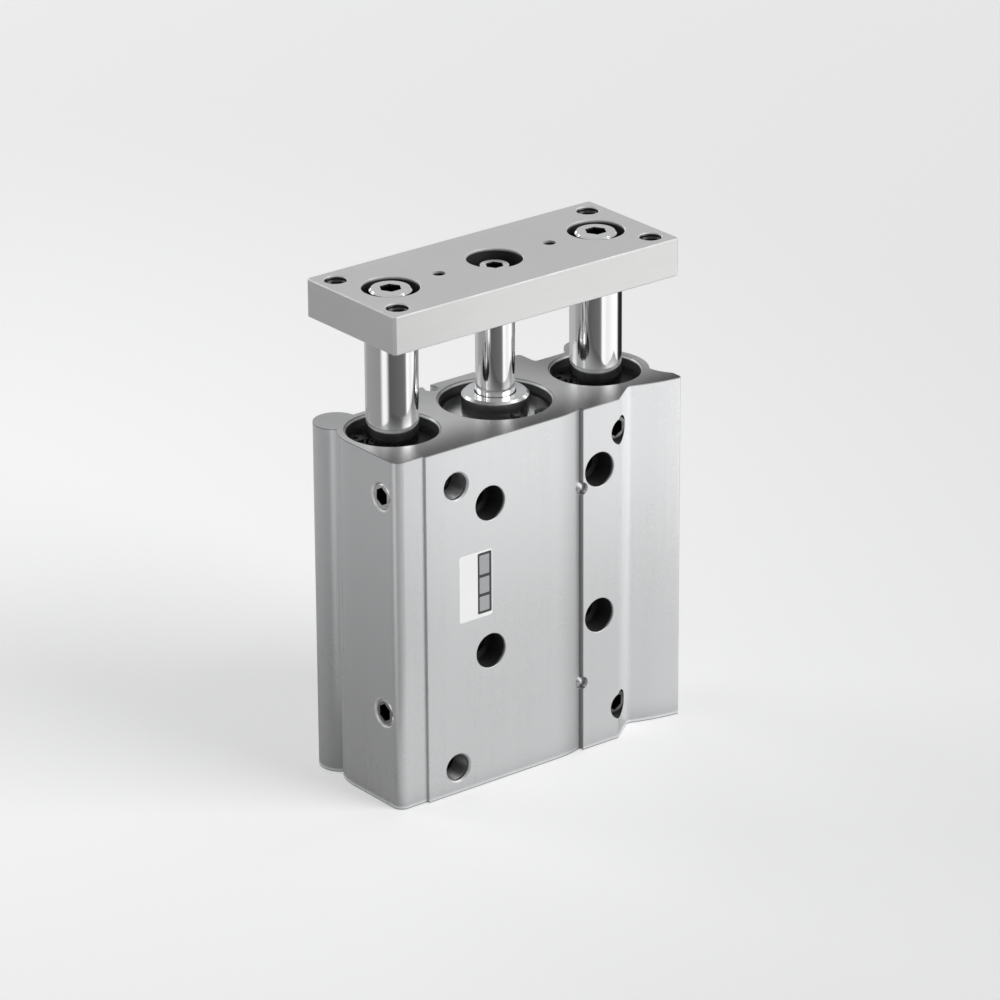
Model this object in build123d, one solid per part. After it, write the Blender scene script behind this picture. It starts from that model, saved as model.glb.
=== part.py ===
from build123d import *
import os
from math import cos, radians, sin, sqrt

# Guided pneumatic cylinder: a flat cylinder body with a centre bore and two guide bores, and a tool
# plate carried by the piston rod and two guide rods. All sizes are in millimetres.
# Origin: middle of the body's flat lower end. +Z is the stroke, and the ports face -Y.

# Stroke and bores
stroke = 75.0
extension = 23.0  # how far the plate stands out of its retracted place as modelled
bore_radius = 16.0
rod_radius = 6.0
guide_rod_radius = 8.0
guide_pitch = 78.0
retracted_gap = 10.0  # from the body to the plate when fully retracted

# Clearances
running_clearance = 0.06
locating_clearance = 0.05
end_clearance = 0.2  # between a bumper and its cover at the end of the stroke
thread_clearance = 0.1
seat_clearance = 0.1

# Extruded body: the section seen from above
housing_depth = 48.0
guide_wall = 2.5
pad_half_width = 28.5
corner_radius = 3.0
strip_width = 10.5  # lowered strip beside the left front corner
strip_depth = 0.9
channel_width = 9.7  # shallow channel that ends at a step beside the right front pad
channel_depth = 1.6
channel_edge = 14.7
ramp_width = 9.0  # from the right front pad back into the lightened side
ramp_depth = 6.6
ramp_fillet = 2.5
wing_inset = 0.5  # the wing's side behind the guide wall's widest point
wing_setback = 2.0  # the wing's front behind the pads
wing_side = 4.5
wing_corner_radius = 1.0
wing_bulge = 0.7
lobe_radius = 7.0  # rounded feet at the two back corners
lobe_offset_x = 48.2
lobe_offset_y = 15.7
back_relief_half_width = 13.0
back_relief_depth = 2.8
pad_corner_radius = 1.0
root_fillet = 1.2
sensor_groove_radius = 2.2
sensor_groove_mouth = 3.2
sensor_groove_offset = 10.0
sensor_groove_wall = 0.6  # least metal between a sensor groove and the rod end's ring groove

# Covers and their retaining rings
ring_thickness = 1.4
ring_groove_depth = 1.0
ring_band = 2.2
ring_lug_radius = 2.6
ring_lug_hole = 0.9
ring_half_gap = 16.0  # degrees from the middle of the gap to a lug
head_ring_setback = 1.2
head_cover_thickness = 6.6
rod_ring_setback = 3.5
seat_radius = 17.2  # counterbore that takes the rod cover
rod_cover_flange = 8.4
rod_cover_spigot = 2.6
spigot_relief = 0.5
boss_radius = 10.3
boss_height = 7.4
boss_chamfer = 0.8
rod_seal_width = 2.2
rod_seal_length = 4.5
rod_seal_lip = 0.7  # metal left above the rod seal's pocket
rod_seal_end_gap = 0.1
lip_clearance = 0.35
rod_seal_slope = 0.5
seal_ring_width = 2.6
seal_ring_depth = 2.4
seal_ring_side_gap = 0.25
centre_dimple_radius = 3.0
centre_dimple_depth = 0.8
bore_chamfer = 0.6

# Ball bushings and the rest of each guide bore
guide_bore_radius = 14.0
rod_passage_radius = 10.0  # plain bore below the bushing
bushing_length = 66.0
cage_inner_gap = 0.5
ball_radius = 1.5
ball_rows = 5
ball_row_length = 54.0
wiper_length = 4.0
guide_end_gap = 0.5  # from a guide rod's end to the body's lower end when retracted

# Ports, plugs and drilled passages
port_radius = 4.28
port_overshoot = 0.3  # how far a port goes past the middle of its passage
port_mouth_chamfer = 0.5
port_x = -33.8
upper_port_inset = 12.4
lower_port_height = 8.3
upper_side_plug_inset = 12.5
lower_side_plug_height = 30.0
side_plug_hole_depth = 6.8
plug_length = 6.0
plug_setback = 0.3
plug_socket = 5.0  # across flats
plug_socket_depth = 3.0
face_plug_x = 30.0
face_plug_inset = 10.7
face_plug_setback = 3.5
face_plug_length = 4.8
passage_radius = 1.25
passage_bite = 0.2  # how far the passages' middle line runs inside the bore's wall
upper_passage_drop = 2.5
lower_passage_rise = 2.3
passage_plug_radius = 2.0
passage_plug_x = 14.4
upper_passage_plug_inset = 25.6
lower_passage_plug_height = 22.6
passage_plug_depth = 4.2
passage_plug_setback = 0.6
passage_plug_dome = 0.8

# Mounting holes in the body
mount_pitch_x = 42.0
mount_pitch_z = 48.0
mount_top_inset = 21.0
mount_hole_radius = 3.4
mount_counterbore_radius = 5.5
mount_counterbore_depth = 7.5
base_tap_radius = 2.5
base_tap_depth = 12.0
base_tap_pitch_x = 45.0
base_tap_pitch_y = 22.0

# Tool plate
plate_width = 108.0
plate_depth = 43.0
plate_thickness = 12.0
plate_edge_chamfer = 0.3
plate_corner_chamfer = 0.8
plate_tap_radius = 3.4
plate_tap_chamfer = 0.3
plate_tap_inset_x = 6.0
plate_tap_inset_y = 6.5
dowel_radius = 2.0
dowel_depth = 8.0
dowel_pitch = 42.0
guide_counterbore_radius = 8.8
guide_counterbore_depth = 7.5
rod_counterbore_radius = 8.6
rod_counterbore_depth = 8.2
hole_edge_chamfer = 0.2

# Bolts from the plate into the rods
guide_bolt_radius = 4.0
guide_bolt_head_radius = 6.5
guide_bolt_head = 7.2
guide_bolt_socket = 6.0
guide_bolt_reach = 16.0
rod_bolt_radius = 3.0
rod_bolt_head_radius = 5.0
rod_bolt_head = 6.0
rod_bolt_socket = 5.0
rod_bolt_reach = 12.0
bolt_hole_clearance = 0.4
socket_depth = 3.4
bolt_chamfer = 0.6
tapping_run_out = 4.0
rod_end_chamfer = 0.8

# Piston
piston_thickness = 9.0
piston_gap = 0.3
piston_land = 1.4
piston_seal_width = 2.4
piston_seal_depth = 2.6
seal_lip = 0.7
magnet_width = 2.0
magnet_depth = 2.4
bumper_stand = 1.5
bumper_outer_radius = 12.0
bumper_inner_radius = 7.2
rod_spigot_radius = 4.0

# Places that follow from the sizes above
half_depth = housing_depth / 2
guide_offset = guide_pitch / 2
passage_y = passage_bite - bore_radius
port_depth = half_depth + passage_y + port_overshoot
sensor_groove_reach = seat_radius + ring_groove_depth + sensor_groove_wall + sensor_groove_radius
sensor_groove_y = sqrt(sensor_groove_reach ** 2 - sensor_groove_offset ** 2)
guide_wall_radius = guide_bore_radius + guide_wall
half_width = guide_offset + guide_wall_radius
head_cover_bottom = head_ring_setback + ring_thickness
head_cover_top = head_cover_bottom + head_cover_thickness
stack_height = piston_thickness + 2 * bumper_stand
rod_cover_bottom = head_cover_top + stack_height + stroke + 2 * end_clearance
seat_level = rod_cover_bottom + rod_cover_spigot
ring_level = seat_level + rod_cover_flange
housing_length = ring_level + ring_thickness + rod_ring_setback
piston_bottom = head_cover_top + end_clearance + bumper_stand + extension
piston_top = piston_bottom + piston_thickness
plate_bottom = housing_length + retracted_gap + extension
plate_top = plate_bottom + plate_thickness
wiper_level = ring_level - wiper_length
bushing_level = wiper_level - bushing_length
upper_port_z = housing_length - upper_port_inset
upper_side_plug_z = housing_length - upper_side_plug_inset
upper_mount_z = housing_length - mount_top_inset
guide_rod_bottom = guide_end_gap + extension
boss_top = ring_level + boss_height
strip_edge = -half_width + strip_width


def turned(*corners):
    """A solid turned about the Z axis, from the (radius, height) corners of its half section."""
    outline = Polyline(*corners, close=True)
    return revolve(Plane.XZ * make_face(outline), Axis.Z)


def tube(outer, inner, bottom, top):
    """A plain sleeve between two heights."""
    return turned((inner, bottom), (outer, bottom), (outer, top), (inner, top))


def towards(direction, place):
    """Where a shape built up along +Z goes when it is to point along a direction from a place."""
    return Plane(origin=place, z_dir=direction).location


def drilled(place, direction, radius, depth, chamfer=0.0):
    """A blind hole's cutter, its mouth at a place, going in against the direction it opens to."""
    mouth = [(radius + chamfer, 0), (radius, -chamfer)] if chamfer > 0 else [(radius, 0)]
    return towards(direction, place) * turned((0, 0), *mouth, (radius, -depth), (0, -depth))


def hexagon_socket(across_flats, depth, level):
    """The cutter for a hexagon socket sunk from a level."""
    section = RegularPolygon(across_flats / 2, 6, major_radius=False)
    return Pos(0, 0, level - depth) * extrude(section, depth)


def rounded_at(section, x, y, radius):
    """Round the corner of a section that lies nearest to a point."""
    corner = section.vertices().sort_by_distance((x, y, 0))[0]
    return fillet(corner, radius)


def left_and_right(shape):
    """A copy of a shape on each guide axis."""
    return [Pos(side * guide_offset, 0, 0) * shape for side in (-1, 1)]


def block(low, high):
    """A plain rectangle between two corners of the section."""
    middle = ((low[0] + high[0]) / 2, (low[1] + high[1]) / 2)
    return Pos(middle[0], middle[1]) * Rectangle(high[0] - low[0], high[1] - low[1])


def wing_section():
    """The lightened right front: a ramp behind the pad, then a bulging web out to the wing's tip."""
    pad_corner = (pad_half_width, -half_depth)
    valley = (pad_half_width + ramp_width, -half_depth + ramp_depth)
    tip = (half_width - wing_inset, -half_depth + wing_setback)
    side_end = (tip[0], tip[1] + wing_side)
    root_angle = radians(-38)
    root = (guide_offset + guide_wall_radius * cos(root_angle), guide_wall_radius * sin(root_angle))
    crown = ((valley[0] + tip[0]) / 2, (valley[1] + tip[1]) / 2 - wing_bulge)
    hollow = ((side_end[0] + root[0]) / 2 - wing_bulge, (side_end[1] + root[1]) / 2)
    edges = [
        Line(pad_corner, valley),
        ThreePointArc(valley, crown, tip),
        Line(tip, side_end),
        ThreePointArc(side_end, hollow, root),
        Line(root, (guide_offset, 0)),
        Line((guide_offset, 0), (pad_half_width, 0)),
        Line((pad_half_width, 0), pad_corner),
    ]
    wing = make_face(edges)
    wing = rounded_at(wing, tip[0], tip[1], wing_corner_radius)
    return rounded_at(wing, valley[0], valley[1], ramp_fillet)


def housing_section():
    """The extruded body's outline, without its three long bores."""
    section = block((-pad_half_width, -half_depth), (pad_half_width, half_depth))
    section += block((-half_width, -half_depth), (0, 0))
    section += block((-guide_offset, -guide_wall_radius), (guide_offset, guide_wall_radius))
    for side in (-1, 1):
        section += Pos(side * guide_offset, 0) * Circle(guide_wall_radius)
        section += Pos(side * lobe_offset_x, lobe_offset_y) * Circle(lobe_radius)
    section += wing_section()
    section -= block((-half_width, -half_depth), (strip_edge, -half_depth + strip_depth))
    section -= block((-back_relief_half_width, half_depth - back_relief_depth),
                     (back_relief_half_width, half_depth))
    channel_start = channel_edge - channel_width
    channel = make_face([
        TangentArc((channel_start, -half_depth), (channel_edge, -half_depth + channel_depth), tangent=(1, 0)),
        Line((channel_edge, -half_depth + channel_depth), (channel_edge, -half_depth)),
        Line((channel_edge, -half_depth), (channel_start, -half_depth)),
    ])
    section -= channel
    for side in (-1, 1):
        groove_x = side * sensor_groove_offset
        section -= Pos(groove_x, sensor_groove_y) * Circle(sensor_groove_radius)
        section -= block((groove_x - sensor_groove_mouth / 2, sensor_groove_y),
                         (groove_x + sensor_groove_mouth / 2, half_depth))
    section = rounded_at(section, -half_width, -half_depth + strip_depth, corner_radius)
    for side in (-1, 1):
        section = rounded_at(section, side * pad_half_width, half_depth, pad_corner_radius)
        section = rounded_at(section, side * pad_half_width, guide_wall_radius, root_fillet)
    return section


def housing():
    """The body: the extruded section with its bores, seats, ports, passages and mounting holes."""
    body = extrude(housing_section(), housing_length)
    groove_top = ring_level + ring_thickness
    head_groove = bore_radius + ring_groove_depth
    rod_groove = seat_radius + ring_groove_depth
    body -= turned(
        (0, 0), (bore_radius + bore_chamfer, 0), (bore_radius, bore_chamfer),
        (bore_radius, head_ring_setback), (head_groove, head_ring_setback),
        (head_groove, head_cover_bottom), (bore_radius, head_cover_bottom),
        (bore_radius, seat_level), (seat_radius, seat_level),
        (seat_radius, ring_level), (rod_groove, ring_level), (rod_groove, groove_top),
        (seat_radius, groove_top), (seat_radius, housing_length - bore_chamfer),
        (seat_radius + bore_chamfer, housing_length), (0, housing_length))
    guide_groove = guide_bore_radius + ring_groove_depth
    guide_hole = turned(
        (0, 0), (rod_passage_radius, 0),
        (rod_passage_radius, bushing_level), (guide_bore_radius, bushing_level),
        (guide_bore_radius, ring_level), (guide_groove, ring_level), (guide_groove, groove_top),
        (guide_bore_radius, groove_top), (guide_bore_radius, housing_length - bore_chamfer),
        (guide_bore_radius + bore_chamfer, housing_length), (0, housing_length))
    for hole in left_and_right(guide_hole):
        body -= hole
    body -= port_holes()
    body -= mounting_holes()
    return body


def port_holes():
    """Cutters for the two ports, the plugged holes and the passages into the centre bore."""
    cutters = []
    for height in (upper_port_z, lower_port_height):
        cutters.append(drilled((port_x, -half_depth, height), (0, -1, 0), port_radius, port_depth,
                               port_mouth_chamfer))
    for height in (upper_side_plug_z, lower_side_plug_height):
        cutters.append(drilled((-half_width, passage_y, height), (-1, 0, 0), port_radius,
                               side_plug_hole_depth, port_mouth_chamfer))
    for height in (housing_length - face_plug_inset, face_plug_inset):
        cutters.append(drilled((face_plug_x, -half_depth, height), (0, -1, 0), port_radius,
                               face_plug_setback + face_plug_length))
    for height in (housing_length - upper_passage_plug_inset, lower_passage_plug_height):
        cutters.append(drilled((passage_plug_x, -half_depth, height), (0, -1, 0), passage_plug_radius,
                               passage_plug_depth))
    upper_passage = upper_port_z - upper_passage_drop
    lower_passage = lower_port_height + lower_passage_rise
    upper_start = -half_width + side_plug_hole_depth
    for start, height in ((upper_start, upper_passage), (port_x, lower_passage)):
        cutters.append(drilled((0, passage_y, height), (1, 0, 0), passage_radius, -start))
    return cutters


def mounting_holes():
    """Cutters for the four through holes of the wide faces and the four tapped holes underneath."""
    cutters = []
    for x in (-mount_pitch_x / 2, mount_pitch_x / 2):
        for height in (upper_mount_z, upper_mount_z - mount_pitch_z):
            cutters.append(drilled((x, -half_depth, height), (0, -1, 0), mount_counterbore_radius,
                                   mount_counterbore_depth, hole_edge_chamfer))
            cutters.append(drilled((x, half_depth, height), (0, 1, 0), mount_hole_radius, housing_depth))
    for x in (-base_tap_pitch_x / 2, base_tap_pitch_x / 2):
        for y in (-base_tap_pitch_y / 2, base_tap_pitch_y / 2):
            cutters.append(drilled((x, y, 0), (0, 0, -1), base_tap_radius, base_tap_depth))
    return cutters


def seal_groove(outer, level):
    """The corners of a sealing ring's groove in a turned part, from its lower to its upper edge."""
    floor = outer - seal_ring_depth
    half_span = seal_ring_width / 2 + seal_ring_side_gap
    return [(outer, level - half_span), (floor, level - half_span),
            (floor, level + half_span), (outer, level + half_span)]


def seal_ring(groove_outer, level):
    """A sealing ring on the floor of its groove."""
    return tube(groove_outer, groove_outer - seal_ring_depth, level - seal_ring_width / 2,
                level + seal_ring_width / 2)


def rod_cover():
    """The gland that closes the rod end: a flange in its seat, a spigot below and a boss above."""
    flange_radius = seat_radius - seat_clearance
    bearing_radius = rod_radius + running_clearance
    pocket_radius = rod_radius + rod_seal_width + locating_clearance
    lip_radius = rod_radius + lip_clearance
    lip_bottom = boss_top - rod_seal_lip
    pocket_bottom = lip_bottom - rod_seal_end_gap - rod_seal_length
    return turned(
        (bearing_radius, rod_cover_bottom), (bore_radius - spigot_relief, rod_cover_bottom),
        (bore_radius - spigot_relief, seat_level), (flange_radius, seat_level),
        *seal_groove(flange_radius, seat_level + rod_cover_flange / 2),
        (flange_radius, ring_level), (boss_radius, ring_level), (boss_radius, boss_top - boss_chamfer),
        (boss_radius - boss_chamfer, boss_top), (lip_radius, boss_top), (lip_radius, lip_bottom),
        (pocket_radius, lip_bottom), (pocket_radius, pocket_bottom), (bearing_radius, pocket_bottom))


def rod_seal():
    """The rod's seal and wiper in the boss's pocket, its upper edge falling away from the rod."""
    inner = rod_radius + running_clearance
    outer = rod_radius + rod_seal_width
    top = boss_top - rod_seal_lip - rod_seal_end_gap
    bottom = top - rod_seal_length
    return turned((inner, bottom), (outer, bottom), (outer, top - rod_seal_slope), (inner, top))


def head_cover():
    """The disc that closes the lower end, with a ring groove and a centre dimple."""
    radius = bore_radius - seat_clearance
    return turned(
        (0, head_cover_bottom + centre_dimple_depth), (centre_dimple_radius, head_cover_bottom),
        (radius, head_cover_bottom),
        *seal_groove(radius, head_cover_bottom + head_cover_thickness / 2),
        (radius, head_cover_top), (0, head_cover_top))


def retaining_ring(bore, level, gap_angle):
    """An internal snap ring in its groove: an open band with a drilled lug at each end of the gap."""
    outer = bore + ring_groove_depth - locating_clearance
    inner = outer - ring_band
    lug_centre = bore - seat_clearance - ring_lug_radius
    flat = Circle(outer) - Circle(inner)
    reach = outer / cos(radians(ring_half_gap))
    edge = Vector(reach, 0).rotate(Axis.Z, ring_half_gap)
    flat -= make_face(Polyline((0, 0), (edge.X, edge.Y), (reach, 0), (edge.X, -edge.Y), close=True))
    for side in (-1, 1):
        place = Vector(lug_centre, 0).rotate(Axis.Z, side * ring_half_gap)
        flat += Pos(place.X, place.Y) * Circle(ring_lug_radius)
    for side in (-1, 1):
        place = Vector(lug_centre, 0).rotate(Axis.Z, side * ring_half_gap)
        flat -= Pos(place.X, place.Y) * RegularPolygon(ring_lug_hole, 8)
    return Pos(0, 0, level) * Rot(0, 0, gap_angle) * extrude(flat, ring_thickness)


def guide_bushing():
    """A long ball bushing, each of its rows of balls a round bar proud of the bore."""
    bushing = tube(guide_bore_radius - locating_clearance, guide_rod_radius + cage_inner_gap, bushing_level,
                   wiper_level)
    pitch_radius = guide_rod_radius + running_clearance + ball_radius
    row = Pos(pitch_radius, 0, bushing_level + bushing_length / 2) * Cylinder(ball_radius, ball_row_length)
    for number in range(ball_rows):
        bushing += Rot(0, 0, 360 * number / ball_rows) * row
    return bushing


def guide_wiper():
    """The wiper ring above the bushing."""
    outer = guide_bore_radius - locating_clearance
    return tube(outer, guide_rod_radius + running_clearance, wiper_level, ring_level)


def socket_plug(setback, length):
    """A plug with a hexagon socket, its outer face a little below the level zero that it closes."""
    radius = port_radius - locating_clearance
    plug = turned((0, -setback), (radius - bolt_chamfer, -setback), (radius, -setback - bolt_chamfer),
                  (radius, -setback - length), (0, -setback - length))
    return plug - hexagon_socket(plug_socket, plug_socket_depth, -setback)


def side_port_plugs():
    """The two plugs that close the ports of the left side."""
    plug = socket_plug(plug_setback, plug_length)
    heights = (upper_side_plug_z, lower_side_plug_height)
    return [towards((-1, 0, 0), (-half_width, passage_y, height)) * plug for height in heights]


def face_port_plugs():
    """The two plugs sunk beside the right front pad."""
    plug = socket_plug(face_plug_setback, face_plug_length)
    heights = (housing_length - face_plug_inset, face_plug_inset)
    return [towards((0, -1, 0), (face_plug_x, -half_depth, height)) * plug for height in heights]


def passage_plugs():
    """The two pointed steel plugs driven into the front openings of the drilled passages."""
    radius = passage_plug_radius - locating_clearance
    top = -passage_plug_setback
    plug = turned((0, top), (radius, top - passage_plug_dome), (radius, -passage_plug_depth),
                  (0, -passage_plug_depth))
    heights = (housing_length - upper_passage_plug_inset, lower_passage_plug_height)
    return [towards((0, -1, 0), (passage_plug_x, -half_depth, height)) * plug for height in heights]


def tool_plate():
    """The plate: two deep seats for the guide rods' bolts, one for the piston rod's, and its threads."""
    plate = Pos(0, 0, plate_bottom + plate_thickness / 2) * Box(plate_width, plate_depth, plate_thickness)
    plate = chamfer(plate.edges().filter_by(Axis.Z), plate_corner_chamfer)
    ends = plate.faces().filter_by(Axis.Z).sort_by(Axis.Z)
    plate = chamfer(ends[0].edges() + ends[-1].edges(), plate_edge_chamfer)
    up = (0, 0, 1)
    for side in (-1, 1):
        x = side * guide_offset
        plate -= drilled((x, 0, plate_top), up, guide_counterbore_radius, guide_counterbore_depth,
                         hole_edge_chamfer)
        plate -= drilled((x, 0, plate_top), up, guide_bolt_radius + bolt_hole_clearance, plate_thickness)
        plate -= drilled((side * dowel_pitch / 2, 0, plate_top), up, dowel_radius, dowel_depth)
    plate -= drilled((0, 0, plate_top), up, rod_counterbore_radius, rod_counterbore_depth, hole_edge_chamfer)
    plate -= drilled((0, 0, plate_top), up, rod_bolt_radius + bolt_hole_clearance, plate_thickness)
    tap_x = plate_width / 2 - plate_tap_inset_x
    tap_y = plate_depth / 2 - plate_tap_inset_y
    for x in (-tap_x, tap_x):
        for y in (-tap_y, tap_y):
            plate -= drilled((x, y, plate_top), up, plate_tap_radius, plate_thickness, plate_tap_chamfer)
    return plate


def bolt(head_radius, head, shank_radius, shank, socket, seat):
    """A socket-head bolt standing on a seat level, its shank down."""
    top = seat + head
    shape = turned((0, seat - shank), (shank_radius, seat - shank), (shank_radius, seat),
                   (head_radius, seat), (head_radius, top - bolt_chamfer), (head_radius - bolt_chamfer, top),
                   (0, top))
    return shape - hexagon_socket(socket, socket_depth, top)


def guide_rod_bolts():
    """The two bolts that hold the guide rods."""
    seat = plate_top - guide_counterbore_depth
    shank = seat - plate_bottom + guide_bolt_reach
    return left_and_right(bolt(guide_bolt_head_radius, guide_bolt_head, guide_bolt_radius, shank,
                               guide_bolt_socket, seat))


def piston_rod_bolt():
    """The bolt that holds the piston rod."""
    seat = plate_top - rod_counterbore_depth
    shank = seat - plate_bottom + rod_bolt_reach
    return bolt(rod_bolt_head_radius, rod_bolt_head, rod_bolt_radius, shank, rod_bolt_socket, seat)


def guide_rod():
    """A ground guide rod with a tapped upper end, on the Z axis."""
    tapped = guide_bolt_radius + thread_clearance
    bottom_of_tap = plate_bottom - guide_bolt_reach - tapping_run_out
    edge = guide_rod_radius - rod_end_chamfer
    return turned((0, guide_rod_bottom), (edge, guide_rod_bottom),
                  (guide_rod_radius, guide_rod_bottom + rod_end_chamfer), (guide_rod_radius, plate_bottom),
                  (tapped, plate_bottom), (tapped, bottom_of_tap), (0, bottom_of_tap))


def piston_rod():
    """The piston rod: a tapped upper end, and below its shoulder a spigot that carries the piston."""
    tapped = rod_bolt_radius + thread_clearance
    bottom_of_tap = plate_bottom - rod_bolt_reach - tapping_run_out
    edge = rod_spigot_radius - rod_end_chamfer
    return turned((0, piston_bottom), (edge, piston_bottom),
                  (rod_spigot_radius, piston_bottom + rod_end_chamfer), (rod_spigot_radius, piston_top),
                  (rod_radius, piston_top), (rod_radius, plate_bottom), (tapped, plate_bottom),
                  (tapped, bottom_of_tap), (0, bottom_of_tap))


def magnet_bottom():
    """The level of the magnet's lower edge."""
    return piston_bottom + piston_land


def piston_seal_bottom():
    """The level of the piston seal's lower edge."""
    return magnet_bottom() + magnet_width + piston_land


def piston():
    """The piston, with a groove for the ring magnet and one for the seal."""
    radius = bore_radius - piston_gap
    bore = rod_spigot_radius + locating_clearance
    corners = [(bore, piston_bottom), (radius, piston_bottom)]
    grooves = ((magnet_bottom(), magnet_width, magnet_depth),
               (piston_seal_bottom(), piston_seal_width, piston_seal_depth))
    for level, width, depth in grooves:
        corners += [(radius, level), (radius - depth, level), (radius - depth, level + width),
                    (radius, level + width)]
    corners += [(radius, piston_top), (bore, piston_top)]
    return turned(*corners)


def piston_seal():
    """The piston seal: two lips that run on the bore, with a hollow between them."""
    floor = bore_radius - piston_gap - piston_seal_depth
    outer = bore_radius - running_clearance
    bottom = piston_seal_bottom()
    top = bottom + piston_seal_width
    return turned((floor, bottom), (outer, bottom), (outer - seal_lip, (bottom + top) / 2), (outer, top),
                  (floor, top))


def piston_magnet():
    """The ring magnet that the position sensors see."""
    floor = bore_radius - piston_gap - magnet_depth
    return tube(bore_radius - 2 * piston_gap, floor, magnet_bottom(), magnet_bottom() + magnet_width)


def bumper(low, high):
    """A rubber stop ring between two levels, bonded to the piston's face."""
    return tube(bumper_outer_radius, bumper_inner_radius, low, high)


nodes = {
    "housing": housing(),
    "rod_cover": rod_cover(),
    "rod_seal": rod_seal(),
    "rod_cover_seal_ring": seal_ring(seat_radius - seat_clearance, seat_level + rod_cover_flange / 2),
    "rod_cover_retaining_ring": retaining_ring(seat_radius, ring_level, -62),
    "head_cover": head_cover(),
    "head_cover_seal_ring": seal_ring(bore_radius - seat_clearance,
                                      head_cover_bottom + head_cover_thickness / 2),
    "head_cover_retaining_ring": retaining_ring(bore_radius, head_ring_setback, -90),
    "side_port_plugs": side_port_plugs(),
    "face_port_plugs": face_port_plugs(),
    "passage_plugs": passage_plugs(),
    "tool_plate": tool_plate(),
    "guide_rod_bolts": guide_rod_bolts(),
    "piston_rod_bolt": piston_rod_bolt(),
    "piston_rod": piston_rod(),
    "piston": piston(),
    "piston_seal": piston_seal(),
    "piston_magnet": piston_magnet(),
    "rod_side_bumper": bumper(piston_top, piston_top + bumper_stand),
    "head_side_bumper": bumper(piston_bottom - bumper_stand, piston_bottom),
}
for name, side in (("left", -1), ("right", 1)):
    place = Pos(side * guide_offset, 0, 0)
    nodes["guide_rod_" + name] = place * guide_rod()
    nodes["guide_bushing_" + name] = place * guide_bushing()
    nodes["guide_wiper_" + name] = place * guide_wiper()
    nodes["guide_retaining_ring_" + name] = place * retaining_ring(guide_bore_radius, ring_level, 150)

os.makedirs("parts", exist_ok=True)
for name, shape in nodes.items():
    if isinstance(shape, list):
        shape = Compound(children=[solid for item in shape for solid in item.solids()])
    export_step(shape, "parts/" + name + ".step")
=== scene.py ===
import bpy
import bmesh
import numpy as np
from mathutils import Matrix, Vector


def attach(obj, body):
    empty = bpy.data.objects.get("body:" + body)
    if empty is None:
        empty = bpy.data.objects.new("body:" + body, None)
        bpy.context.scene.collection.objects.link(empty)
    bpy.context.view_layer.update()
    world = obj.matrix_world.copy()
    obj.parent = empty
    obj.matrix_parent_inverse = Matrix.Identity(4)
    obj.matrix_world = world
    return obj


# Looks of the guided pneumatic cylinder, in metres, in the same frame as its solids: Z is the
# stroke, the two open ports face -Y, and the body's lower end stands on the floor.
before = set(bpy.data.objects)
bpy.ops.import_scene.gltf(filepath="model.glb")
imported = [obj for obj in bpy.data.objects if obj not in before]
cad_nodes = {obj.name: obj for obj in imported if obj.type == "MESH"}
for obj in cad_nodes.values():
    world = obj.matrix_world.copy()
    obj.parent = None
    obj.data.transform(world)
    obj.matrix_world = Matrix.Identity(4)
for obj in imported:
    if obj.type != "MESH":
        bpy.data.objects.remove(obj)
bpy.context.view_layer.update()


# Camera. It stands to the left of the front and looks down on the part through a long lens, as in
# the photograph.
camera_azimuth = np.radians(-38.243)
camera_elevation = np.radians(22.609)
camera_roll = np.radians(-0.329)
camera_distance = 1.70661
camera_aim = Vector((0.001583, 0.0, 0.078864))

towards_camera = Vector((
    np.sin(camera_azimuth) * np.cos(camera_elevation),
    -np.cos(camera_azimuth) * np.cos(camera_elevation),
    np.sin(camera_elevation),
))
level_right = (-towards_camera).cross(Vector((0, 0, 1))).normalized()
level_up = level_right.cross(-towards_camera)
camera_right = level_right * np.cos(camera_roll) + level_up * np.sin(camera_roll)
camera_up = level_up * np.cos(camera_roll) - level_right * np.sin(camera_roll)
lens = bpy.data.cameras.new("camera")
lens.lens = 202.29
lens.sensor_width = 36.0
lens.clip_start = 0.05
lens.clip_end = 50.0
camera = bpy.data.objects.new("camera", lens)
camera.matrix_world = Matrix.Translation(camera_aim + towards_camera * camera_distance) @ Matrix((
    (camera_right.x, camera_up.x, towards_camera.x, 0),
    (camera_right.y, camera_up.y, towards_camera.y, 0),
    (camera_right.z, camera_up.z, towards_camera.z, 0),
    (0, 0, 0, 1),
))
bpy.context.scene.collection.objects.link(camera)
bpy.context.scene.camera = camera
bpy.context.scene.view_settings.view_transform = "Standard"


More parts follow.
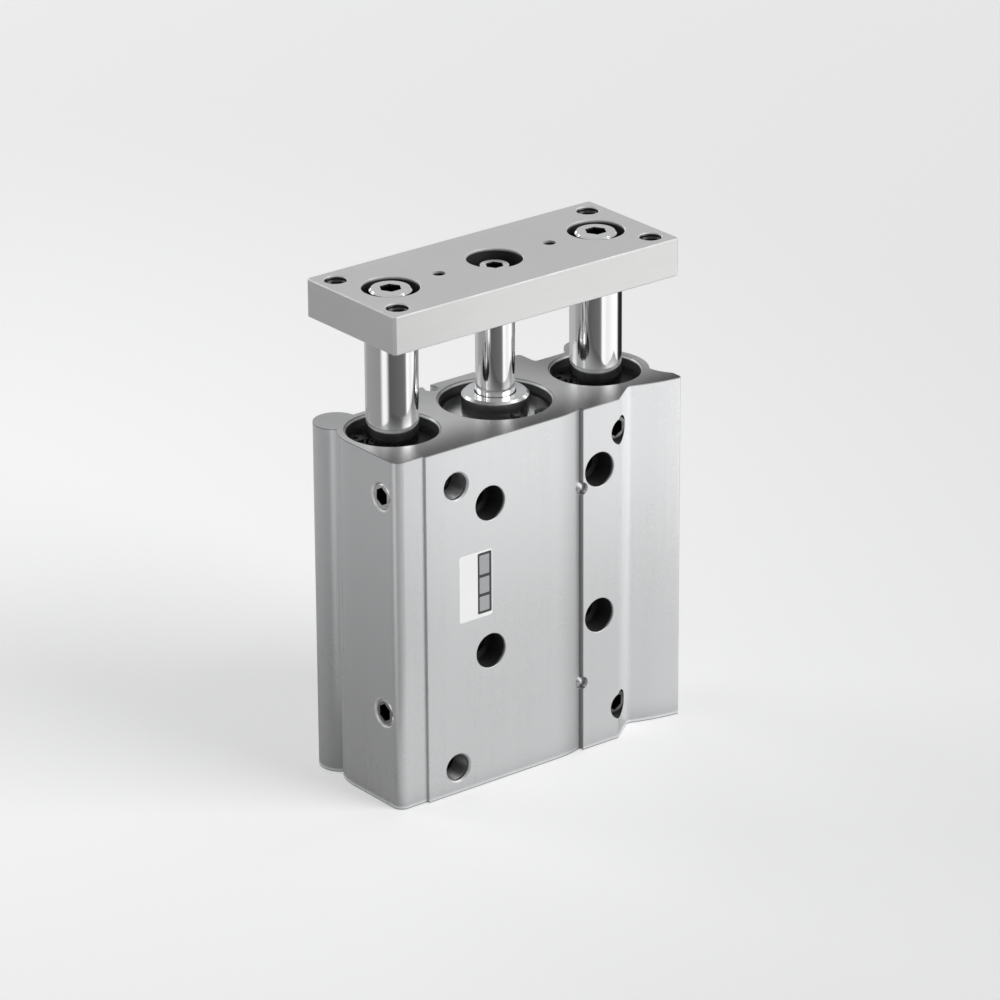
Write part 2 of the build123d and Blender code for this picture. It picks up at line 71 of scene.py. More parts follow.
# Floor. A wide sheet of pale matt board that the part stands on, bent up all round at its far edge, so
# that it also stands behind the part in level views.
class Signal:
    """A socket of a finish: arithmetic on it adds Math nodes, and node() adds any other node."""

    def __init__(self, tree, socket=None):
        self.tree = tree
        self.socket = socket

    def put(self, target, value):
        """Give a node's input a value, or a link when the value is another signal."""
        if isinstance(value, Signal):
            self.tree.links.new(value.socket, target)
        else:
            target.default_value = value

    def node(self, kind, settings=None, inputs=None, out=0):
        """Add a node, set what it is first, then fill its sockets; the signal of one output comes back."""
        made = self.tree.nodes.new(kind)
        for name, value in (settings or {}).items():
            if name == "stops":
                ramp = made.color_ramp
                while len(ramp.elements) < len(value):
                    ramp.elements.new(0.5)
                for stop, (place, level) in zip(ramp.elements, value):
                    stop.position = place
                    stop.color = (level, level, level, 1)
            else:
                setattr(made, name, value)
        for name, value in (inputs or {}).items():
            self.put(made.inputs[name], value)
        return Signal(self.tree, made.outputs[out]) if len(made.outputs) else None

    def maths(self, operation, *values):
        """Add a Math node on up to three values or signals."""
        return self.node("ShaderNodeMath", {"operation": operation}, dict(enumerate(values)))

    def __add__(self, other):
        return self.maths("ADD", self, other)

    def __sub__(self, other):
        return self.maths("SUBTRACT", self, other)

    def __rsub__(self, other):
        return self.maths("SUBTRACT", other, self)

    def __mul__(self, other):
        return self.maths("MULTIPLY", self, other)

    __radd__ = __add__
    __rmul__ = __mul__

    def size(self):
        """The signal without its sign."""
        return self.maths("ABSOLUTE", self)

    def either(self, other):
        """The greater of two signals."""
        return self.maths("MAXIMUM", self, other)

    def raised(self, low, high, bottom=0.0, top=1.0):
        """This signal's span low to high carried smoothly onto bottom to top."""
        return self.node("ShaderNodeMapRange", {"interpolation_type": "SMOOTHSTEP"},
                         {"Value": self, "From Min": low, "From Max": high, "To Min": bottom, "To Max": top})

    def between(self, first, second):
        """A colour that goes from the first to the second as this signal goes from 0 to 1."""
        return self.node("ShaderNodeMix", {"data_type": "RGBA"}, {0: self, 6: first, 7: second}, out=2)

    def shade(self, colour):
        """A colour made lighter or darker by this signal."""
        return self.node("ShaderNodeVectorMath", {"operation": "SCALE"}, {0: colour, "Scale": self})

    def place(self):
        """The point in Object coordinates."""
        return self.node("ShaderNodeTexCoord", out=3)

    def parts(self):
        """The three numbers of a point or a direction."""
        split = self.node("ShaderNodeSeparateXYZ", None, {"Vector": self})
        return [Signal(self.tree, output) for output in split.socket.node.outputs]

    def stretched(self, x, y, z):
        """A point with each of its coordinates scaled."""
        return self.node("ShaderNodeMapping", None, {"Vector": self, "Scale": (x, y, z)})

    def noise(self, scale, detail=2.0):
        """Cloudy noise about one half, at a point."""
        return self.node("ShaderNodeTexNoise", None, {"Vector": self, "Scale": scale, "Detail": detail})


def finish(name):
    """An empty material and its first signal, from which the nodes are added."""
    material = bpy.data.materials.new(name)
    material.use_nodes = True
    material.node_tree.nodes.clear()
    return material, Signal(material.node_tree)


def show(material, signal, surface, bump=None, bump_height=0.0001, strength=1.0):
    """Join a Principled shader to the output, its sockets filled from surface and its normal from bump."""
    if bump is not None:
        surface["Normal"] = signal.node("ShaderNodeBump", None, {
            "Height": bump, "Distance": bump_height, "Strength": strength})
    shader = signal.node("ShaderNodeBsdfPrincipled", None, surface)
    signal.node("ShaderNodeOutputMaterial", None, {"Surface": shader})
    return material


def surface_piece(name, places, material, closed_u=False, closed_v=False):
    """A mesh from a grid of points, rows along v and columns along u, wrapped round where it is closed.

    Points that fall together, as at a pole, are merged. A shape that is closed all over is turned
    so that the volume under its faces, a third of the sum of each face's centre times its area
    vector, is positive.
    """
    rows, columns = places.shape[:2]
    row = np.arange(rows if closed_v else rows - 1)
    column = np.arange(columns if closed_u else columns - 1)
    row, column = np.meshgrid(row, column, indexing="ij")
    below = row * columns
    above = (row + 1) % rows * columns
    beside = (column + 1) % columns
    faces = np.stack([below + column, below + beside, above + beside, above + column], axis=-1)
    faces = faces.reshape(-1, 4)
    points = places.reshape(-1, 3)
    corners = points[faces]
    area = np.cross(corners[:, 2] - corners[:, 0], corners[:, 3] - corners[:, 1])
    if (corners.mean(axis=1) * area).sum() < 0:
        faces = faces[:, ::-1]
    mesh = bpy.data.meshes.new(name)
    mesh.from_pydata(points, [], faces)
    welded = bmesh.new()
    welded.from_mesh(mesh)
    bmesh.ops.remove_doubles(welded, verts=welded.verts, dist=1e-7)
    welded.to_mesh(mesh)
    welded.free()
    mesh.materials.append(material)
    piece = bpy.data.objects.new(name, mesh)
    bpy.context.scene.collection.objects.link(piece)
    return piece


def seen_rays(signal):
    """One for rays that show the room to the eye: from the camera, or by way of metal or glass."""
    path = signal.node("ShaderNodeLightPath")
    rays = {output.name: Signal(signal.tree, output) for output in path.socket.node.outputs}
    return rays["Is Camera Ray"].either(rays["Is Glossy Ray"]).either(rays["Is Transmission Ray"])


key_place = (2.16, -3.64, 2.40)
pool_place = (-0.12, 0.22)


def distance_from(x, y, place):
    """The level distance from a place."""
    across, back = x - place[0], y - place[1]
    return x.maths("SQRT", across * across + back * back)


def board_finish():
    """Pale board with a trace of tone; the eye sees it paler than the light that it throws back.

    It glows less near the key lamp, which lights it there, and most in a pool round the part.
    """
    material, board = finish("board")
    place = board.place()
    x, y, z = place.parts()
    colour = place.noise(1.3).between((0.66, 0.66, 0.665, 1), (0.70, 0.70, 0.705, 1))
    pool = 1 - distance_from(x, y, pool_place).raised(0.05, 0.55)
    level = distance_from(x, y, key_place).raised(1.5, 7.0, 0.05, 0.58) + 0.12 * pool
    glow = (seen_rays(board) * level).shade((1.0, 1.0, 1.005))
    return show(material, board, {"Base Color": colour, "Roughness": 0.9, "Specular IOR Level": 0.2,
                                  "Emission Color": glow, "Emission Strength": 1.0})


def floor_places(flat_radius, edge_radius, steepness=0.45, gap=0.0001):
    """A round sheet a hair under the part, rising with the square of the distance past its flat radius."""
    radius = np.concatenate([[0.0], np.linspace(flat_radius, edge_radius, 24)])
    angle = np.linspace(0, 2 * np.pi, 96, endpoint=False)
    radius, angle = np.meshgrid(radius, angle, indexing="ij")
    height = steepness * np.maximum(radius - flat_radius, 0.0) ** 2 - gap
    return np.stack([radius * np.cos(angle), radius * np.sin(angle), height], axis=-1)


floor_flat_radius = 7.0
floor_edge_radius = 9.0
floor = surface_piece("floor", floor_places(floor_flat_radius, floor_edge_radius), board_finish(), closed_u=True)


# Light. One big soft lamp to the right of the front, weak ones behind on both sides, and an even pale
# room. Low cards lie and stand round the part and glow though they are no lamps, white where the
# front looks and grey or black elsewhere; only reflections show them, and they draw the upright bands
# of polished metal as painted reflections.
part_middle = Vector((0, 0, 0.08))


def soft_lamp(name, place, size, power):
    """A square area lamp at a place, turned to face the part, and itself out of every picture."""
    lamp = bpy.data.lights.new(name, "AREA")
    lamp.shape = "SQUARE"
    lamp.size = size
    lamp.energy = power
    rig = bpy.data.objects.new(name, lamp)
    place = Vector(place)
    facing = (place - part_middle).to_track_quat("Z", "Y").to_matrix().to_4x4()
    rig.matrix_world = Matrix.Translation(place) @ facing
    rig.visible_camera = False
    bpy.context.scene.collection.objects.link(rig)


soft_lamp("key_lamp", key_place, 3.4, 180.0)
soft_lamp("back_lamp", (1.4, 4.6, 1.2), 1.8, 28.0)
soft_lamp("left_lamp", (-2.2, 3.6, 1.5), 2.2, 44.0)
room = bpy.data.worlds.new("room")
room.use_nodes = True
air = Signal(room.node_tree)
air_level = 0.26 + 0.30 * seen_rays(air)
room.node_tree.nodes["Background"].inputs["Color"].default_value = (0.98, 0.99, 1.0, 1)
air.put(room.node_tree.nodes["Background"].inputs["Strength"], air_level)
bpy.context.scene.world = room

card_radius = 0.11
card_foot = 0.001
card_top = 0.15
card_glow_levels = [  # share of a turn from behind, by way of the left side; tone
    (0.0, 0.43), (0.06, 0.43), (0.10, 0.31), (0.26, 0.26), (0.28, 0.90), (0.305, 0.90), (0.33, 0.09),
    (0.49, 0.14), (0.505, 0.24), (0.515, 0.32), (0.525, 1.0), (0.56, 0.96), (0.585, 0.83), (0.61, 0.86),
    (0.65, 1.0), (0.70, 1.0), (0.72, 0.02), (0.87, 0.02), (0.90, 0.43)]


def glowing_card_finish():
    """Glowing cards, which are no lamps: the wall's glow goes by the angle round the part and, as painted
    shade in the reflections low down, falls off towards the floor.

    The sheet on the floor glows dimly under and behind the part, as painted shade, and brighter in front of it.
    """
    material, card = finish("glowing_cards")
    across, back, height = card.place().parts()
    turn = card.maths("ARCTAN2", across, -1 * back) * (0.5 / np.pi) + 0.5
    tone = card.node("ShaderNodeValToRGB", {"stops": card_glow_levels}, {"Fac": turn})
    # Painted shade in reflections: the wall's glow falls to half at its foot.
    wall = height.raised(0.0, 0.075, 0.5, 1.0).shade(tone)
    # Painted shade in reflections: the floor sheet glows dimly under and behind the part, brighter in front.
    sheet = back.raised(-0.034, -0.018, 0.48, 0.12).shade((1.0, 1.0, 1.0))
    card.node("ShaderNodeOutputMaterial", None, {"Surface": card.node("ShaderNodeEmission", None, {
        "Color": height.raised(0.0012, 0.0030).between(sheet, wall), "Strength": 1.15})})
    return material


def card_places(count=96):
    """A round sheet just above the floor, and a round wall on its edge: radius and height by steps."""
    angle = np.linspace(0, 2 * np.pi, count, endpoint=False)
    reach = np.array([[0.0], [card_radius], [card_radius]])
    height = np.broadcast_to(np.array([[card_foot], [card_foot], [card_top]]), (3, count))
    return np.stack([reach * np.sin(angle), -reach * np.cos(angle), height], axis=-1)


glowing_cards = surface_piece("glowing_cards", card_places(), glowing_card_finish(), closed_u=True)
glowing_cards.visible_camera = False
glowing_cards.visible_diffuse = False
glowing_cards.visible_transmission = False
glowing_cards.visible_shadow = False


# Body. An aluminium extrusion, sawn and milled at both ends, its long bores honed, then bead
# blasted lightly and clear anodised. Its holes are cut bare; their walls are painted near black as
# shade, for how dark they look from outside.
body_front = -0.024
body_left = -0.0555
body_depth = 0.048
body_length = 0.1125
guide_offset = 0.039
guide_bore_radius = 0.0151
middle_bore_radius = 0.0183

# Pairs of like holes: a place across or back, then the pair's middle height and each hole's rise from it.
seat_x, seat_middle, seat_rise, seat_radius = 0.021, 0.0675, 0.024, 0.0055
port_x, port_middle, port_rise, port_radius = -0.0338, 0.0542, 0.0459, 0.00428
pad_plug_x, pad_plug_middle, pad_plug_rise = 0.030, 0.05625, 0.04555
side_plug_y, side_plug_middle, side_plug_rise, side_rim_radius = -0.0158, 0.065, 0.035, 0.00474


def near_axis(across, along, radius):
    """One within a radius of an axis, from the two distances square to it, and nought just outside."""
    return 1 - (across * across + along * along).raised((radius + 0.00004) ** 2, (radius + 0.0002) ** 2)


def body_hole_shade(x, y, z):
    """One on the walls of the body's holes, painted near black as shade: inside their radius, and past their
    mouths by a little.
    """
    depth = y - body_front
    shallow = 1 - depth.raised(0.0120, 0.0125)
    sunk = depth.raised(0.0002, 0.0012) * (1 - depth.raised(body_depth - 0.0012, body_depth - 0.0006))
    screw_seats = near_axis(x.size() - seat_x, (z - seat_middle).size() - seat_rise, seat_radius) * sunk
    open_ports = near_axis(x - port_x, (z - port_middle).size() - port_rise, port_radius)
    open_ports = open_ports * depth.raised(0.001, 0.003)
    beside_pad = near_axis(x - pad_plug_x, (z - pad_plug_middle).size() - pad_plug_rise, port_radius)
    under_top = z.raised(0.0003, 0.0009) * (1 - z.raised(body_length - 0.0011, body_length - 0.0006))
    guide_bores = near_axis(x.size() - guide_offset, y, guide_bore_radius) * under_top
    middle_bore = near_axis(x, y, middle_bore_radius) * under_top
    return screw_seats.either(open_ports.either(beside_pad) * shallow).either(guide_bores).either(middle_bore)


def body_light_and_shade(x, y, z, on_end):
    """Painted light and shade on the skin: painted shade darkens the channel towards its step, painted light
    makes the wing paler, a painted shade line greys the sides along the sawn ends, and painted shade darkens the
    skin towards the bottom.
    """
    on_front = 1 - (y - body_front).raised(0.0021, 0.0024)
    # Painted shade in the channel towards the pad's step, painted light on the wing, and a painted shade line
    # along the sawn ends of the side faces.
    channel_shade = x.raised(0.0035, 0.0146) * (1 - x.raised(0.01469, 0.0148)) * on_front
    wing_light = x.raised(0.0300, 0.0335) * (1 - y.raised(-0.006, -0.002))
    rim_shade = (1 - z.raised(0.0002, 0.0004)).either(z.raised(body_length - 0.0004, body_length - 0.0002))
    tone = (1 - 0.34 * channel_shade + 0.11 * wing_light) * (1 - 0.55 * rim_shade * (1 - on_end))
    # Painted shade: the whole skin is darker towards the bottom.
    return tone * z.raised(0.0, body_length, 0.90, 1.0)


def anodised_finish():
    """Satin anodised aluminium: soft extrusion bands along Z, milling arcs on the ends, a blasted grain."""
    material, alloy = finish("body_anodised")
    place = alloy.place()
    x, y, z = place.parts()
    upward = alloy.node("ShaderNodeNewGeometry", out=1).parts()[2].size()
    on_end = upward.raised(0.7, 0.95)
    bands = place.stretched(1.0, 1.0, 0.02).noise(240.0, 1.0)
    grain = place.noise(5200.0)
    cloud = place.noise(26.0, 3.0)
    arcs = alloy.node("ShaderNodeTexWave", {"wave_type": "RINGS", "rings_direction": "Z"}, {
        "Vector": alloy.node("ShaderNodeMapping", None, {"Vector": place, "Location": (0.09, 0.05, 0)}),
        "Scale": 330.0, "Distortion": 1.5, "Detail": 2.0, "Detail Scale": 3.0})
    painted_light_and_shade = body_light_and_shade(x, y, z, on_end)
    side_colour = (painted_light_and_shade * (0.96 + 0.03 * bands + 0.05 * cloud)).shade((0.765, 0.77, 0.775))
    # Painted shade: the end faces are painted darker towards the front edge.
    front_edge_shade = y.raised(body_front, body_front + 0.020, 0.2, 1.0)
    end_colour = (front_edge_shade * (0.90 + 0.08 * arcs + 0.08 * cloud)).shade((0.66, 0.66, 0.665))
    colour = on_end.between(side_colour, end_colour)
    # Painted highlight: the rims of the two side plug holes are painted near white.
    plug_rim_highlight = near_axis(y - side_plug_y, (z - side_plug_middle).size() - side_plug_rise, side_rim_radius)
    plug_rim_highlight = plug_rim_highlight * (1 - x.raised(body_left + 0.0010, body_left + 0.0015))
    colour = plug_rim_highlight.between(colour, (0.95, 0.95, 0.95, 1))
    # Painted shade: the walls of the body's holes are painted near black.
    hole_shade = body_hole_shade(x, y, z)
    colour = hole_shade.between(colour, (0.045, 0.045, 0.046, 1))
    rough = 0.21 + 0.08 * cloud + 0.06 * on_end + 0.03 * bands + 0.04 * grain + 0.3 * hole_shade
    return show(material, alloy, {"Base Color": colour, "Metallic": 0.34 + 0.14 * on_end, "Roughness": rough},
                bump=arcs * on_end, bump_height=0.00005, strength=0.18)


def dress(node, material):
    """Give a solid's every face one finish."""
    cad_nodes[node].data.materials.clear()
    cad_nodes[node].data.materials.append(material)


dress("housing", anodised_finish())


# Threads of the ports and of the tapped holes underneath. Each is cut with a tap to a bright, sharp
# ridge; the ridge stands inside the hole's wall by the thread's depth.
def tapped_finish():
    """Freshly cut aluminium: bright flanks with fine tearing across them."""
    material, cut = finish("thread_cut")
    place = cut.place()
    tearing = place.noise(4200.0, 3.0)
    film = place.noise(500.0, 3.0)
    colour = (0.75 + 0.35 * film).shade((0.26, 0.26, 0.265))
    return show(material, cut, {"Base Color": colour, "Metallic": 0.8, "Roughness": 0.28 + 0.2 * tearing},
                bump=tearing, bump_height=0.00004, strength=0.5)


def thread_places(radius, length, pitch, depth, turns_round=40, steps_per_pitch=8, wall_gap=0.00003):
    """A threaded sleeve round the Z axis, from z = 0 down to -length, as a closed band.

    At the angle a and the depth s the ridge's phase is s / pitch - a / one turn, its height is one
    minus twice the phase's distance from a half, and the radius is the wall's less two gaps and
    less that height times the thread's depth. The ridge fades in and out over one pitch, and the
    band comes back one gap inside the wall.
    """
    steps = int(length / pitch * steps_per_pitch)
    along = np.linspace(0.0, length, steps + 1)
    angle = np.linspace(0, 2 * np.pi, turns_round, endpoint=False)
    along, angle = np.meshgrid(along, angle, indexing="ij")
    phase = (along / pitch - angle / (2 * np.pi)) % 1.0
    ridge = 1.0 - np.abs(2.0 * phase - 1.0)
    fade = np.clip(np.minimum(along, length - along) / pitch, 0.0, 1.0)
    inner = radius - 2 * wall_gap - depth * ridge * fade
    outer = np.full((2, turns_round), radius - wall_gap)
    reach = np.concatenate([inner, outer])
    angle = np.concatenate([angle, angle[:2]])
    along = np.concatenate([along, np.full((1, turns_round), length), np.zeros((1, turns_round))])
    return np.stack([reach * np.cos(angle), reach * np.sin(angle), -along], axis=-1)


def thread_piece(name, mouth, opens_to, material, radius, length, pitch, depth):
    """A thread whose hole opens at a point towards a direction."""
    places = thread_places(radius, length, pitch, depth)
    turn = np.array(Vector(opens_to).to_track_quat("Z", "Y").to_matrix())
    return surface_piece(name, places @ turn.T + np.array(mouth), material, closed_u=True, closed_v=True)


tapped = tapped_finish()
port_pitch = 0.000907
for place_name, port_height in (("upper", port_middle + port_rise), ("lower", port_middle - port_rise)):
    thread = thread_piece(f"{place_name}_port_thread", (port_x, body_front + 0.0005, port_height), (0, -1, 0),
                          tapped, port_radius, 0.0076, port_pitch, 0.00042)
    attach(thread, "body")
base_tap_x, base_tap_y, base_tap_radius = 0.0225, 0.011, 0.0025
for number, (side, back) in enumerate(((-1, -1), (1, -1), (-1, 1), (1, 1))):
    thread = thread_piece(f"base_thread_{number}", (side * base_tap_x, back * base_tap_y, 0.0004), (0, 0, -1),
                          tapped, base_tap_radius, 0.011, 0.001, 0.0004)
    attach(thread, "body")


# Rod cover and head cover. Turned aluminium discs, anodised like the body and then polished on the
# boss; the tool leaves fine rings about their axis.
def turned_finish(name, tone, roughness, metallic):
    """Lathe-turned metal: fine rings about the Z axis, and a little streaking in its gloss."""
    material, metal = finish(name)
    place = metal.place()
    rings = metal.node("ShaderNodeTexWave", {"wave_type": "RINGS", "rings_direction": "Z"}, {
        "Vector": place, "Scale": 900.0, "Distortion": 0.4, "Detail": 2.0})
    smear = place.noise(240.0, 4.0)
    colour = (0.86 + 0.08 * rings + 0.12 * smear).shade(tone)
    return show(material, metal, {
        "Base Color": colour, "Metallic": metallic, "Roughness": roughness + 0.12 * smear},
        bump=rings, bump_height=0.00003, strength=0.35)


dress("rod_cover", turned_finish("rod_cover_turned", (0.86, 0.86, 0.865), 0.14, 1.0))
dress("head_cover", turned_finish("head_cover_turned", (0.74, 0.74, 0.745), 0.26, 0.6))


# Retaining rings. Stamped spring steel, phosphated nearly black, snapped into their grooves.
def phosphated_finish():
    """Phosphated spring steel: charcoal, a little mottled, rubbed brighter on its flat."""
    material, steel = finish("ring_phosphated")
    place = steel.place()
    mottle = place.noise(900.0, 5.0)
    rubbed = mottle.raised(0.55, 0.75)
    colour = rubbed.between((0.022, 0.023, 0.025, 1), (0.09, 0.09, 0.095, 1))
    return show(material, steel, {
        "Base Color": colour, "Metallic": 0.6, "Roughness": 0.44 - 0.1 * rubbed},
        bump=mottle, bump_height=0.00005, strength=0.4)


phosphated = phosphated_finish()
for ring in ("rod_cover_retaining_ring", "head_cover_retaining_ring", "guide_retaining_ring_left",
             "guide_retaining_ring_right"):
    dress(ring, phosphated)


# Seals, wipers and bumpers. Black nitrile rubber, black moulded plastic and brown urethane.
def rubber_finish(name, dark, light, roughness):
    """Moulded rubber or plastic: dull, with a fine pebbled skin and a little dust."""
    material, rubber = finish(name)
    place = rubber.place()
    skin = place.noise(2600.0, 3.0)
    dust = place.noise(210.0, 4.0)
    colour = dust.raised(0.45, 0.8).between(dark, light)
    return show(material, rubber, {"Base Color": colour, "Roughness": roughness + 0.15 * dust},
                bump=skin, bump_height=0.00008, strength=0.5)


nitrile = rubber_finish("nitrile", (0.010, 0.010, 0.010, 1), (0.022, 0.022, 0.022, 1), 0.42)
for seal in ("rod_seal", "rod_cover_seal_ring", "head_cover_seal_ring", "piston_seal"):
    dress(seal, nitrile)
wiper_plastic = rubber_finish("wiper_moulding", (0.010, 0.010, 0.011, 1), (0.022, 0.022, 0.024, 1), 0.38)
dress("guide_wiper_left", wiper_plastic)
dress("guide_wiper_right", wiper_plastic)
urethane = rubber_finish("bumper_urethane", (0.20, 0.11, 0.06, 1), (0.26, 0.15, 0.09, 1), 0.4)
dress("rod_side_bumper", urethane)
dress("head_side_bumper", urethane)


# Port plugs and passage plugs. Plated steel plugs screwed in below the surface; their sockets and
# the gaps round them lie in shade.
def plated_finish(name, bright, dull, roughness, sunk=None):
    """Bright plated steel with soft drifts of dullness and fine tool marks, painted black as shade where it is
    sunk.
    """
    material, steel = finish(name)
    place = steel.place()
    drift = place.noise(420.0, 5.0)
    marks = place.noise(3000.0)
    colour = drift.raised(0.35, 0.7).between(bright, dull)
    rough = roughness + 0.16 * drift
    if sunk is not None:
        # Painted shade: the sunk sockets are painted black.
        hole_shade = sunk(*place.parts())
        colour = hole_shade.between(colour, (0.012, 0.012, 0.012, 1))
        rough = rough + 0.3 * hole_shade
    return show(material, steel, {
        "Base Color": colour, "Metallic": 1.0, "Roughness": rough},
        bump=marks, bump_height=0.00003, strength=0.4)


plug_socket_radius = 0.0029
side_plug_face = body_left + 0.0003
pad_plug_face = body_front + 0.0035


def side_sockets(x, y, z):
    """One inside the sockets of the two plugs at the side, past their outer faces."""
    sockets = near_axis(y - side_plug_y, (z - side_plug_middle).size() - side_plug_rise, plug_socket_radius)
    return sockets * (x - side_plug_face).raised(0.0001, 0.0005)


def face_sockets(x, y, z):
    """One inside the sockets of the two plugs beside the pad, past their outer faces."""
    sockets = near_axis(x - pad_plug_x, (z - pad_plug_middle).size() - pad_plug_rise, plug_socket_radius)
    return sockets * (y - pad_plug_face).raised(0.0001, 0.0005)


dress("side_port_plugs", plated_finish("side_plug_plated", (0.86, 0.86, 0.86, 1), (0.62, 0.62, 0.62, 1),
                                       0.14, side_sockets))
# The plugs beside the pad sit 3.5 mm down in their holes and are painted darker than the side plugs, as painted
# shade.
dress("face_port_plugs", plated_finish("face_plug_plated_in_shade", (0.24, 0.24, 0.24, 1), (0.12, 0.12, 0.12, 1),
                                       0.24, face_sockets))
dress("passage_plugs", plated_finish("passage_plug_plated", (0.60, 0.60, 0.62, 1), (0.40, 0.40, 0.42, 1), 0.2))


# Guide bushings. Long drawn steel shells whose rows of balls run on the rods.
bushing_steel = plated_finish("bushing_steel", (0.5, 0.5, 0.5, 1), (0.36, 0.36, 0.36, 1), 0.25)
dress("guide_bushing_left", bushing_steel)
dress("guide_bushing_right", bushing_steel)


# Rods. Induction-hardened steel, centreless ground, hard chrome plated and polished, so that they
# mirror the room in upright bands.
def chrome_finish():
    """Polished hard chrome: nearly a mirror, with faint grinding lines round it."""
    material, chrome = finish("rod_chrome")
    place = chrome.place()
    lines = place.stretched(0.05, 0.05, 1.0).noise(5000.0)
    smear = place.noise(60.0, 4.0)
    colour = smear.between((0.84, 0.84, 0.84, 1), (0.90, 0.90, 0.905, 1))
    return show(material, chrome, {
        "Base Color": colour, "Metallic": 1.0, "Roughness": 0.05 + 0.06 * smear + 0.03 * lines},
        bump=lines, bump_height=0.000004, strength=0.3)


rod_chrome = chrome_finish()
for rod in ("piston_rod", "guide_rod_left", "guide_rod_right"):
    dress(rod, rod_chrome)


# Piston. A turned aluminium disc with a plastic-bonded ring magnet.
dress("piston", turned_finish("piston_turned", (0.78, 0.78, 0.79), 0.22, 0.8))
dress("piston_magnet", rubber_finish("bonded_magnet", (0.05, 0.045, 0.042, 1), (0.08, 0.07, 0.07, 1), 0.5))


# Tool plate. Rolled steel, its faces ground lengthways and its edges broken, then nickel plated. Its
# counterbores and tapped holes lie in shade.
plate_bottom = 0.1455
plate_top = 0.1575
plate_half_width = 0.054
plate_half_depth = 0.0215
guide_seat_radius = 0.0088
middle_seat_radius = 0.0086
dowel_x, dowel_radius = 0.021, 0.0020
plate_tap_x, plate_tap_y, plate_tap_radius = 0.048, 0.015, 0.0034


def plate_holes(x, y, z):
    """One on the walls of the plate's holes: inside their radius, and between its two faces."""
    inside = (z - plate_bottom).raised(0.0002, 0.0006) * (1 - (z - plate_top).raised(-0.0010, -0.0003))
    guide_seats = near_axis(x.size() - guide_offset, y, guide_seat_radius)
    middle_seat = near_axis(x, y, middle_seat_radius)
    taps = near_axis(x.size() - plate_tap_x, y.size() - plate_tap_y, plate_tap_radius)
    dowels = near_axis(x.size() - dowel_x, y, dowel_radius)
    return inside * guide_seats.either(middle_seat).either(taps).either(dowels)


def plate_edges(x, y, z):
    """Nearness to the plate's edges: the second smallest of the depths under its three pairs of faces.

    The second smallest of three is the greater of two: the lesser of the first pair, and the lesser
    of the first pair's greater and the third.
    """
    half_height, middle = (plate_top - plate_bottom) / 2, (plate_top + plate_bottom) / 2
    side, front = plate_half_width - x.size(), plate_half_depth - y.size()
    top = half_height - (z - middle).size()
    lesser = side.maths("MINIMUM", side, front)
    second = lesser.either(side.maths("MINIMUM", side.either(front), top))
    return 1 - second.raised(0.0001, 0.0005)


def ground_finish():
    """Ground and plated steel: fine lines along X, soft changes of gloss, edges rubbed here and there."""
    material, steel = finish("plate_nickel")
    place = steel.place()
    lines = place.stretched(0.02, 1.0, 1.0).noise(2400.0, 3.0)
    cloud = place.noise(34.0, 4.0)
    rubbed = plate_edges(*place.parts()) * place.noise(130.0, 3.0).raised(0.4, 0.62)
    colour = (0.91 + 0.07 * lines + 0.08 * cloud).shade((0.72, 0.717, 0.71))
    colour = rubbed.between(colour, (0.82, 0.82, 0.81, 1))
    hole_shade = plate_holes(*place.parts())
    colour = hole_shade.between(colour, (0.025, 0.025, 0.025, 1))
    rough = 0.33 + 0.10 * cloud + 0.05 * lines + 0.2 * hole_shade - 0.08 * rubbed
    return show(material, steel, {"Base Color": colour, "Metallic": 0.35, "Roughness": rough},
                bump=lines, bump_height=0.00004, strength=0.4)


dress("tool_plate", ground_finish())


# Threads of the plate's four tapped corner holes, painted near black as the shade inside the holes.
def shaded_thread_finish():
    """Cut steel painted near black as the shade inside the holes, clouded a little."""
    material, steel = finish("thread_shaded")
    place = steel.place()
    film = place.noise(700.0, 4.0)
    colour = film.between((0.02, 0.02, 0.02, 1), (0.10, 0.10, 0.10, 1))
    return show(material, steel, {"Base Color": colour, "Metallic": 0.8, "Roughness": 0.25 + 0.2 * film},
                bump=film, bump_height=0.00003, strength=0.4)


shaded_thread = shaded_thread_finish()
for number, (side, back) in enumerate(((-1, -1), (1, -1), (-1, 1), (1, 1))):
    mouth = (side * plate_tap_x, back * plate_tap_y, plate_top - 0.0004)
    thread = thread_piece(f"plate_thread_{number}", mouth, (0, 0, 1), shaded_thread,
                          plate_tap_radius, 0.0112, 0.00125, 0.0005)
    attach(thread, "slider")


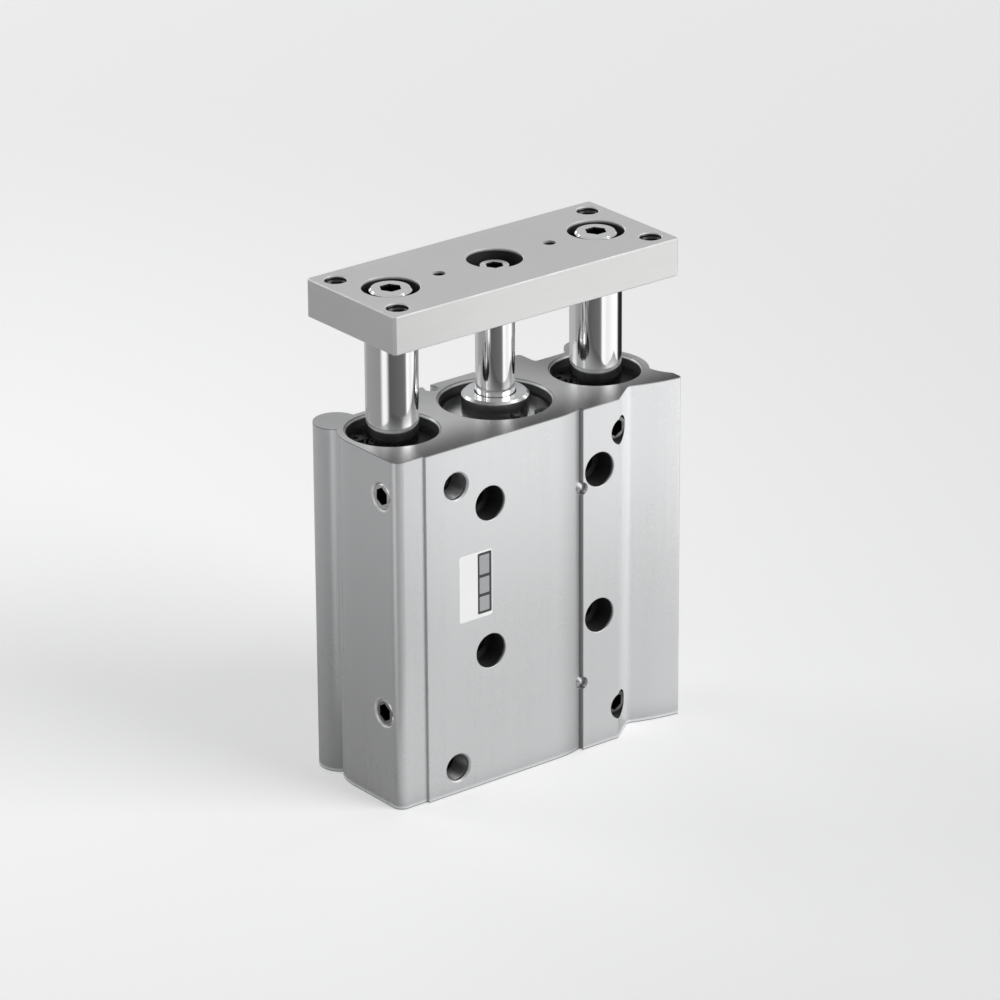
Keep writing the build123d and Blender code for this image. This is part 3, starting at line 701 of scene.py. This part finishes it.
# Screws of the plate. Cap screws with knurled heads and hexagon sockets, zinc plated; their sockets
# and the knurled sides of their heads are painted dark as shade.
def cap_screw_finish(name, axis_x, head_radius, socket_radius, head_top):
    """Plated cap screw: turned rings on its top, a knurl of upright ridges round it painted dark as shade, and a
    socket painted black as shade.
    """
    material, steel = finish(name)
    place = steel.place()
    x, y, z = place.parts()
    across = x.size() - axis_x
    reach = steel.maths("SQRT", across * across + y * y)
    rings = steel.maths("SINE", reach * 16000.0)
    knurl = steel.maths("SINE", steel.maths("ARCTAN2", y, across) * 48.0)
    shaded_head_side = reach.raised(head_radius - 0.0002, head_radius - 0.0001) * (1 - z.raised(
        head_top - 0.0008, head_top - 0.0006))
    socket = near_axis(across, y, socket_radius) * (1 - (z - head_top).raised(-0.0005, -0.0001))
    drift = place.noise(300.0)
    colour = drift.between((0.92, 0.92, 0.91, 1), (0.80, 0.80, 0.79, 1))
    # Painted shade: the head's side is painted dark and its socket black.
    colour = shaded_head_side.between(colour, (0.10, 0.10, 0.10, 1))
    colour = socket.between(colour, (0.010, 0.010, 0.010, 1))
    relief = 0.1 * rings * (1 - shaded_head_side) * (1 - socket) + knurl * shaded_head_side
    return show(material, steel, {
        "Base Color": colour, "Metallic": 1.0, "Roughness": 0.10 + 0.10 * drift + 0.3 * socket},
        bump=relief, bump_height=0.0001, strength=0.5)


dress("guide_rod_bolts", cap_screw_finish("guide_screw_plated", guide_offset, 0.0065, 0.0035, 0.1572))
dress("piston_rod_bolt", cap_screw_finish("rod_screw_plated", 0.0, 0.0050, 0.0029, 0.1553))


# Label. A bare two-part sticker on the front face: plain white at the left, and at the right a dark
# strip with three blank grey cells.
sticker_lift = 0.00009
sticker_left, sticker_right = -0.0330, -0.0205
sticker_low, sticker_high = 0.0555, 0.0770


def sticker_places(low_x, high_x, low_z, high_z, corner, lift, count=48):
    """A closed thin pad on the front face, as rings about its middle from its back to its front.

    The outline is the centre plus the half size less the corner, in the direction's quadrant, plus
    the corner's radius along the direction. Each ring is the outline scaled towards the centre.
    """
    angle = (np.arange(count) + 0.5) * 2 * np.pi / count
    half = np.array([(high_x - low_x) / 2, (high_z - low_z) / 2])
    centre = np.array([(high_x + low_x) / 2, (high_z + low_z) / 2])
    way = np.stack([np.cos(angle), np.sin(angle)], axis=-1)
    outline = np.sign(way) * (half - corner) + way * corner
    scale = np.array([0.0, 1.0, 1.0, 0.97, 0.0])
    depth = np.array([0.0, 0.0, lift * 0.8, lift, lift]) - 0.00001
    rings = centre + outline * scale[:, None, None]
    across = np.broadcast_to((body_front - depth)[:, None], rings.shape[:2])
    return np.stack([rings[..., 0], across, rings[..., 1]], axis=-1)


def sticker_finish(name, tone, roughness):
    """Coated paper or film: nearly even, with a fine tooth."""
    material, film = finish(name)
    place = film.place()
    tooth = place.noise(3400.0)
    soft = place.noise(120.0, 3.0)
    return show(material, film, {"Base Color": (0.94 + 0.08 * soft).shade(tone),
                                 "Roughness": roughness + 0.1 * soft},
                bump=tooth, bump_height=0.00002, strength=0.3)


def sticker_piece(name, low_x, high_x, low_z, high_z, corner, lift, material):
    """A pad of the label, fixed to the body."""
    pad = surface_piece(name, sticker_places(low_x, high_x, low_z, high_z, corner, lift), material,
                        closed_u=True)
    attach(pad, "body")


strip_left = -0.0260
sticker_piece("label_paper", sticker_left, sticker_right, sticker_low, sticker_high, 0.0006, sticker_lift,
              sticker_finish("label_paper", (0.97, 0.97, 0.97), 0.5))
sticker_piece("label_strip", strip_left, sticker_right - 0.0003, sticker_low + 0.0012, sticker_high - 0.0006,
              0.0003, sticker_lift * 1.5, sticker_finish("label_dark", (0.05, 0.05, 0.052), 0.4))
cell_grey = sticker_finish("label_cell", (0.42, 0.42, 0.43), 0.42)
for number, (cell_low, cell_high) in enumerate(((0.0575, 0.0622), (0.0632, 0.0684), (0.0694, 0.0756))):
    sticker_piece(f"label_cell_{number}", strip_left + 0.0006, sticker_right - 0.0012, cell_low, cell_high,
                  0.0003, sticker_lift * 2, cell_grey)
